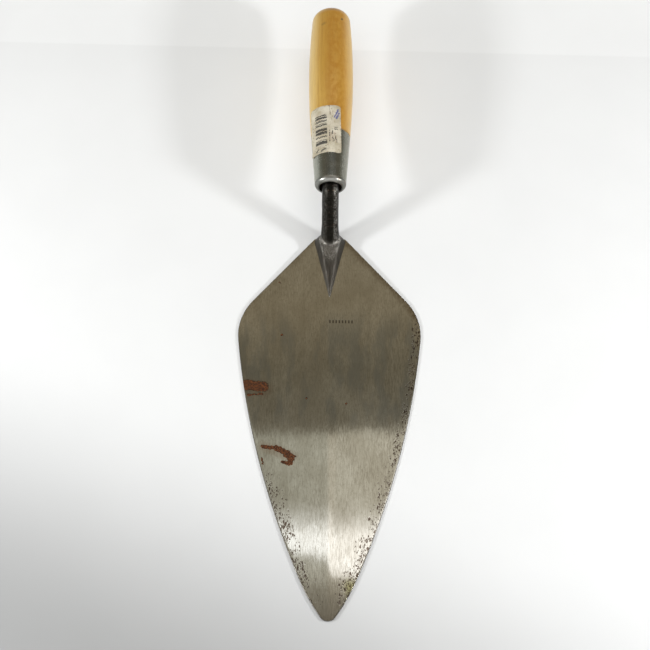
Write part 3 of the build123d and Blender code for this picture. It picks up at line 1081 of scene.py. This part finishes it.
def make_floor():
    """A pale sheet of paper, flat, with painted shade darker towards the front and far away, and painted
    light brighter near the grip and beyond a line behind it.
    """
    half = 4000.0
    corners = [(-half, -half, 0), (half, -half, 0), (half, half, 0), (-half, half, 0)]
    floor = piece_from("studio_floor", corners, [(0, 1, 2, 3)])
    material = bpy.data.materials.new("pale_paper")
    n = Nodes(material)
    place = n.place()
    x, y, _ = n.split(place)
    # painted shade: the sheet darkens towards the front, where the lamps' light falls off
    lean = n.plus(y, n.times(x, 0.45))
    front = n.range(lean, -330, -110, 0.475, 1.0)
    # painted light: the sheet is brighter beyond a line behind the grip, where the paper would turn up
    rise = n.minus(n.plus(y, n.times(x, 0.02)), FOLD_Y)
    painted_fold_light = n.plus(n.range(rise, -1, 1, 1.0, 1.045), n.range(rise, 0, 60, 0.0, 0.05))
    off = n.absolute(x)
    # painted shade: the sheet darkens far from the tool
    far = n.range(n.most(off, n.times(n.absolute(y), 0.7)), 240, 460, 1.0, 0.45)
    # painted light: the sheet is brighter beside the grip and towards the back
    painted_grip_light = n.times(n.range(off, 130, 40), n.range(y, 20, 110))
    painted_grip_light = n.plus(n.range(y, 60, 200, 1.0, 1.02), n.times(painted_grip_light, 0.06))
    cloud = n.range(n.noise(place, 0.02, detail=2), 0.3, 0.7, 0.985, 1.0)
    tone = n.times(front, painted_fold_light, far, painted_grip_light, cloud, 0.8)
    n.set("Base Color", n.mix(tone, (0, 0, 0), (1.0, 1.019, 1.038)))
    n.set("Roughness", 0.9)
    n.set("Specular IOR Level", 0.1)
    # beyond the reach of the lamps the sheet glows a little, so that it stays pale
    n.set("Emission Color", (0.80, 0.81, 0.82, 1.0))
    n.set("Emission Strength", n.range(n.vector("LENGTH", n.combine(x, y)), 400, 800, 0.0, 0.62))
    floor.data.materials.append(material)


def soft_light(name, at, aim, size, power, glossy=True):
    """An oblong area light at a place in metres, turned towards another."""
    data = bpy.data.lights.new(name, "AREA")
    data.shape = "RECTANGLE"
    data.size, data.size_y = size
    data.energy = power
    lamp = bpy.data.objects.new(name, data)
    bpy.context.scene.collection.objects.link(lamp)
    lamp.location = at
    lamp.rotation_mode = "QUATERNION"
    lamp.rotation_quaternion = (Vector(aim) - Vector(at)).to_track_quat("-Z", "Y")
    lamp.visible_glossy = glossy


def make_sky():
    """A dim room with one long window in its ceiling, beyond the handle."""
    world = bpy.data.worlds.new("studio")
    bpy.context.scene.world = world
    n = Nodes(world, "ShaderNodeBackground", "ShaderNodeOutputWorld")
    east, north, height = n.split(n.add("ShaderNodeTexCoord").outputs["Generated"])

    def ramp(value, *stops):
        """Stops are (position, level) or (position, red, green, blue)."""
        node = n.add("ShaderNodeValToRGB")
        n.link(value, node.inputs[0])
        elements = node.color_ramp.elements
        while len(elements) < len(stops):
            elements.new(0.5)
        for element, (position, *colour) in zip(elements, stops):
            element.position = position
            element.color = (*(colour * 3)[:3], 1.0)
        return node.outputs[0]

    def both(blend, a, b):
        return n.mix(1.0, a, b, blend)

    up = n.most(height, 0.001)
    # slopes away from straight overhead, towards the butt and to the right
    beyond = n.math("DIVIDE", north, up)
    aside = n.math("DIVIDE", east, up)
    ceiling = ramp(
        n.math("MULTIPLY", beyond, 0.5, clamp=True),
        (0.0, 0.16, 0.145, 0.12),
        (0.142, 0.21, 0.185, 0.145),
        (0.215, 0.20, 0.18, 0.135),
        (0.235, 0.179, 0.157, 0.111),
        (0.260, 0.26, 0.22, 0.15),
        (0.325, 0.26, 0.225, 0.16),
        (0.6, 0.20, 0.19, 0.165),
    )
    walls = ramp(
        up,
        (0.0, 0.62, 0.62, 0.61),
        (0.10, 0.52, 0.52, 0.50),
        (0.19, 0.34, 0.335, 0.295),
        (0.25, 0.32, 0.315, 0.27),
        (0.55, 0.18, 0.18, 0.155),
        (0.75, 0.0),
    )
    # a blind, and beyond it a strip of bare glass, which starts nearer on the right
    blind = ramp(
        beyond,
        *((0.0, 0.0), (0.276, 0.0), (0.298, 0.55), (0.313, 1.0), (0.4165, 1.0), (0.4235, 0.0), (1.0, 0.0)),
    )
    sill = ramp(n.plus(beyond, n.times(aside, 0.13)), (0.0, 0.0), (0.3195, 0.0), (0.3250, 1.0), (1.0, 1.0))
    head = ramp(
        n.minus(beyond, n.times(aside, 0.03)),
        *((0.0, 1.0), (0.345, 1.0), (0.350, 0.66), (0.356, 0.30), (0.364, 0.09), (0.370, 0.0), (1.0, 0.0)),
    )
    across = n.math("ADD", n.times(aside, 0.5), 0.5, clamp=True)
    middle, right_of_middle = 0.455, 0.545
    blind_wide = ramp(
        across,
        *((0.0, 0.0), (0.22, 0.10), (middle, 0.23, 0.245, 0.22)),
        *((right_of_middle, 0.47, 0.45, 0.39), (0.78, 0.30), (1.0, 0.0)),
    )
    glass_wide = ramp(
        across,
        *((0.0, 0.0), (0.22, 0.30), (middle, 0.94, 0.98, 1.05)),
        *((right_of_middle, 1.05, 1.05, 1.10), (0.78, 0.45), (1.0, 0.0)),
    )
    glass = both("MULTIPLY", both("MULTIPLY", sill, head), glass_wide)
    light = both("ADD", both("MULTIPLY", blind, blind_wide), glass)
    n.set("Color", both("ADD", both("LIGHTEN", ceiling, walls), light))


def make_camera():
    data = bpy.data.cameras.new("camera")
    data.sensor_width, data.lens = SENSOR_WIDTH, LENS
    data.clip_start, data.clip_end = 0.05, 30.0
    camera = bpy.data.objects.new("camera", data)
    bpy.context.scene.collection.objects.link(camera)
    camera.location = Vector((CAMERA_X, TIP_Y - CAMERA_SETBACK, CAMERA_HEIGHT)) * MM
    pitch, roll = radians(90 - CAMERA_DOWN), radians(CAMERA_ROLL)
    camera.rotation_mode = "XYZ"
    camera.rotation_euler = (Matrix.Rotation(pitch, 3, "X") @ Matrix.Rotation(roll, 3, "Z")).to_euler()
    bpy.context.scene.camera = camera


make_floor()
make_sky()
for side, name in ((-1, "left_softbox"), (1, "right_softbox")):
    out, back, height = SIDE_LAMP
    soft_light(name, (side * out, back, height), SIDE_AIM, (0.14, 0.08), SIDE_POWER)
soft_light("front_softbox", FRONT_LAMP, FRONT_AIM, (0.9, 0.6), FRONT_POWER)
soft_light("overhead_softbox", TOP_LAMP, TOP_AIM, (1.2, 1.2), TOP_POWER, glossy=False)
make_camera()

bpy.context.scene.view_settings.view_transform = "Standard"
